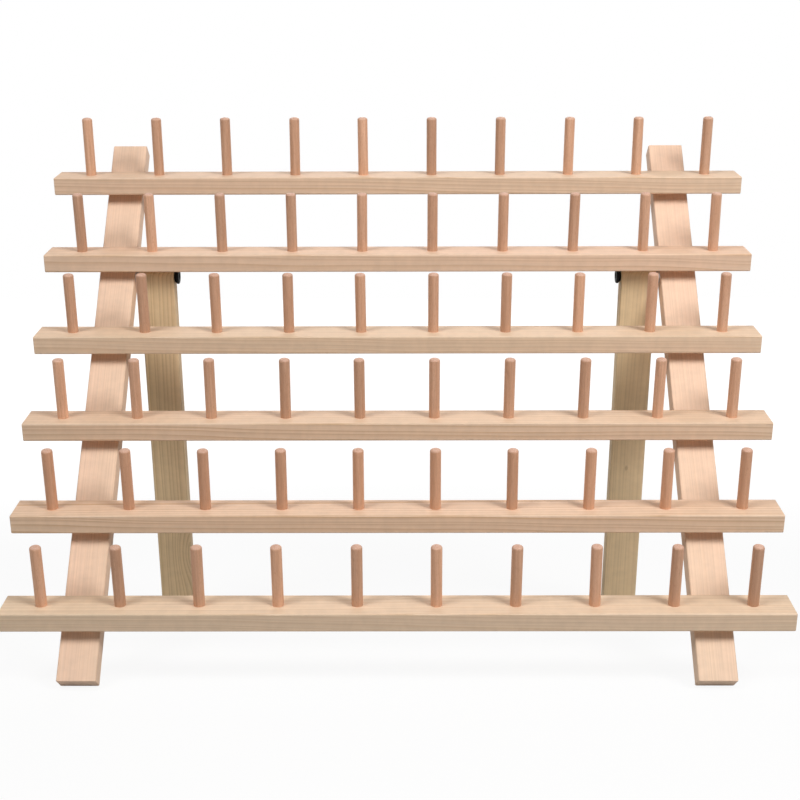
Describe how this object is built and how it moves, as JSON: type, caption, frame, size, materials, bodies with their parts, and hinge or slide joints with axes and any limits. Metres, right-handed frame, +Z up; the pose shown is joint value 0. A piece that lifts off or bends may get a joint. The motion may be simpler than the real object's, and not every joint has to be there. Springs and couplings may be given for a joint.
{
  "type": "thread spool rack",
  "caption": "Folding wooden thread rack: stepped shelf bars with upright spool pegs on leaning front legs, propped by rear legs that fold flat on pivot bolts.",
  "frame": {"origin": "on the ground, centred under the opened rack's bounding box", "axes": "+X along the bars to the rack's right as seen from the front, +Y to the back, +Z up"},
  "size_m": [0.4, 0.1826, 0.2984],
  "materials": {
    "pine_leg": "planed, unvarnished pale pine",
    "pine_rear": "planed, unvarnished pine with marked growth rings",
    "pine_bar": "planed, unvarnished pale pine",
    "beech_peg": "sanded hardwood dowel",
    "black_steel": "black, satin",
    "zinc_steel": "zinc plated"
  },
  "bodies": {
    "rack": {"front_leg_left": "pine_leg", "front_leg_right": "pine_leg", "shelf_bar_1": "pine_bar", "shelf_bar_2": "pine_bar", "shelf_bar_3": "pine_bar", "shelf_bar_4": "pine_bar", "shelf_bar_5": "pine_bar", "shelf_bar_6": "pine_bar", "spool_pegs_1": "beech_peg", "spool_pegs_2": "beech_peg", "spool_pegs_3": "beech_peg", "spool_pegs_4": "beech_peg", "spool_pegs_5": "beech_peg", "spool_pegs_6": "beech_peg", "pivot_bolt_left": "black_steel", "pivot_bolt_right": "black_steel", "pivot_spacer_left": "zinc_steel", "pivot_spacer_right": "zinc_steel", "pivot_nut_left": "zinc_steel", "pivot_nut_right": "zinc_steel", "bar_screws_left": "zinc_steel", "bar_screws_right": "zinc_steel"},
    "rear_leg_left": {"rear_leg_left": "pine_rear"},
    "rear_leg_right": {"rear_leg_right": "pine_rear"}
  },
  "joints": [
    {"name": "rear_leg_left_fold", "type": "hinge", "parent": "rack", "child": "rear_leg_left", "pos_m": [-0.1385, 0.03146, 0.20663], "axis": [1, 0, 0], "range_deg": [-45, 45]},
    {"name": "rear_leg_right_fold", "type": "hinge", "parent": "rack", "child": "rear_leg_right", "pos_m": [0.1385, 0.03146, 0.20663], "axis": [1, 0, 0], "range_deg": [-45, 45]}
  ]
}
